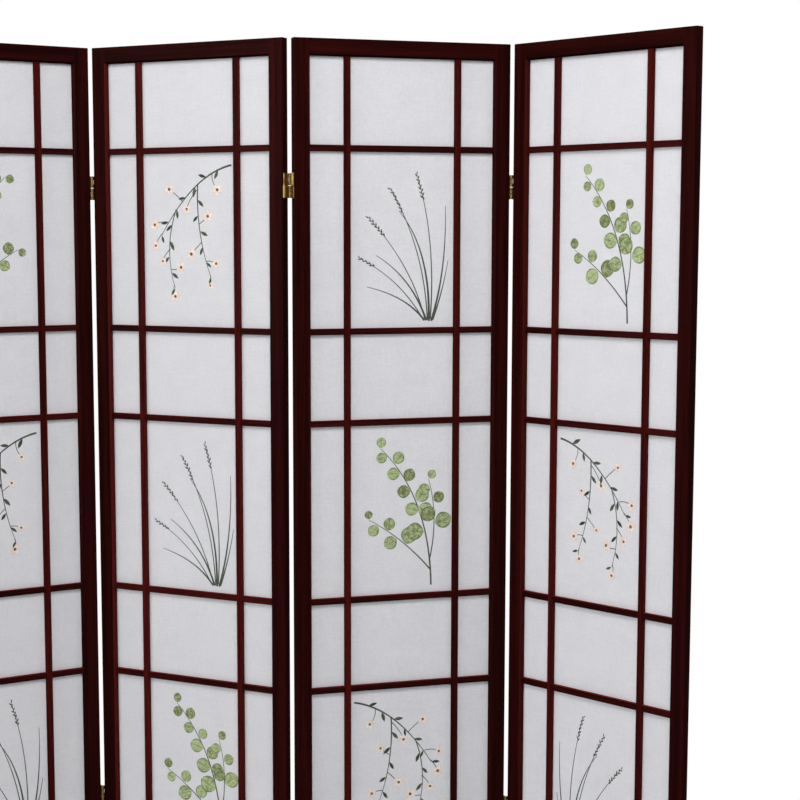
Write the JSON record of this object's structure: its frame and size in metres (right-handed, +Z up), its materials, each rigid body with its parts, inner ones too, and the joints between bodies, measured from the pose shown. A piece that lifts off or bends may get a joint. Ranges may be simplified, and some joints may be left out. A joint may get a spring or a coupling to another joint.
{
  "type": "wooden folding screen",
  "caption": "Free-standing folding screen of equal dark wood lattice panels backed by pale translucent sheets, joined by two-way brass hinges and set in a zigzag.",
  "frame": {"origin": "centre of the opened screen's bounding box, on the floor", "axes": "+Z up, -Y towards the viewer, +X from the first panel to the last; every panel stands upright and is turned about Z"},
  "size_m": [1.5068, 0.4106, 1.784],
  "materials": {
    "stained_wood": "dark red-brown stain under satin lacquer, fine straight grain along each piece",
    "sheet_paper": "off-white translucent sheet with a fine fibre weave, matt",
    "hinge_brass": "bright brass plating, lightly tarnished",
    "brad_steel": "plain steel brads"
  },
  "bodies": {
    "panel_1": {"panel_1_left_stile": "stained_wood", "panel_1_right_stile": "stained_wood", "panel_1_bottom_rail": "stained_wood", "panel_1_top_rail": "stained_wood", "panel_1_left_upright_muntin": "stained_wood", "panel_1_right_upright_muntin": "stained_wood", "panel_1_cross_muntins": "stained_wood", "panel_1_sheet": "sheet_paper", "panel_1_back_beads": "stained_wood", "panel_1_bead_brads": "brad_steel", "panel_1_hinge_pins": "hinge_brass", "panel_1_hinge_screws": "hinge_brass", "hinge_1_2_left_leaves": "hinge_brass", "hinge_1_2_upper_links": "hinge_brass"},
    "panel_2": {"panel_2_left_stile": "stained_wood", "panel_2_right_stile": "stained_wood", "panel_2_bottom_rail": "stained_wood", "panel_2_top_rail": "stained_wood", "panel_2_left_upright_muntin": "stained_wood", "panel_2_right_upright_muntin": "stained_wood", "panel_2_cross_muntins": "stained_wood", "panel_2_sheet": "sheet_paper", "panel_2_back_beads": "stained_wood", "panel_2_bead_brads": "brad_steel", "panel_2_hinge_pins": "hinge_brass", "panel_2_hinge_screws": "hinge_brass", "hinge_1_2_right_leaves": "hinge_brass", "hinge_1_2_lower_links": "hinge_brass", "hinge_2_3_left_leaves": "hinge_brass", "hinge_2_3_lower_links": "hinge_brass"},
    "panel_3": {"panel_3_left_stile": "stained_wood", "panel_3_right_stile": "stained_wood", "panel_3_bottom_rail": "stained_wood", "panel_3_top_rail": "stained_wood", "panel_3_left_upright_muntin": "stained_wood", "panel_3_right_upright_muntin": "stained_wood", "panel_3_cross_muntins": "stained_wood", "panel_3_sheet": "sheet_paper", "panel_3_back_beads": "stained_wood", "panel_3_bead_brads": "brad_steel", "panel_3_hinge_pins": "hinge_brass", "panel_3_hinge_screws": "hinge_brass", "hinge_2_3_right_leaves": "hinge_brass", "hinge_2_3_upper_links": "hinge_brass", "hinge_3_4_left_leaves": "hinge_brass", "hinge_3_4_upper_links": "hinge_brass"},
    "panel_4": {"panel_4_left_stile": "stained_wood", "panel_4_right_stile": "stained_wood", "panel_4_bottom_rail": "stained_wood", "panel_4_top_rail": "stained_wood", "panel_4_left_upright_muntin": "stained_wood", "panel_4_right_upright_muntin": "stained_wood", "panel_4_cross_muntins": "stained_wood", "panel_4_sheet": "sheet_paper", "panel_4_back_beads": "stained_wood", "panel_4_bead_brads": "brad_steel", "panel_4_hinge_pins": "hinge_brass", "panel_4_hinge_screws": "hinge_brass", "hinge_3_4_right_leaves": "hinge_brass", "hinge_3_4_lower_links": "hinge_brass"}
  },
  "joints": [
    {"name": "fold_1_2", "type": "hinge", "parent": "panel_2", "child": "panel_1", "pos_m": [-0.3768, 0.18433, 0.892], "axis": [0, 0, 1], "range_deg": [-60.3, 118.7]},
    {"name": "fold_2_3", "type": "hinge", "parent": "panel_2", "child": "panel_3", "pos_m": [0.02025, -0.00172, 0.892], "axis": [0, 0, 1], "range_deg": [-45.5, 133.5]},
    {"name": "fold_3_4", "type": "hinge", "parent": "panel_3", "child": "panel_4", "pos_m": [0.44378, 0.11182, 0.892], "axis": [0, 0, -1], "range_deg": [-64.8, 114.2]}
  ]
}
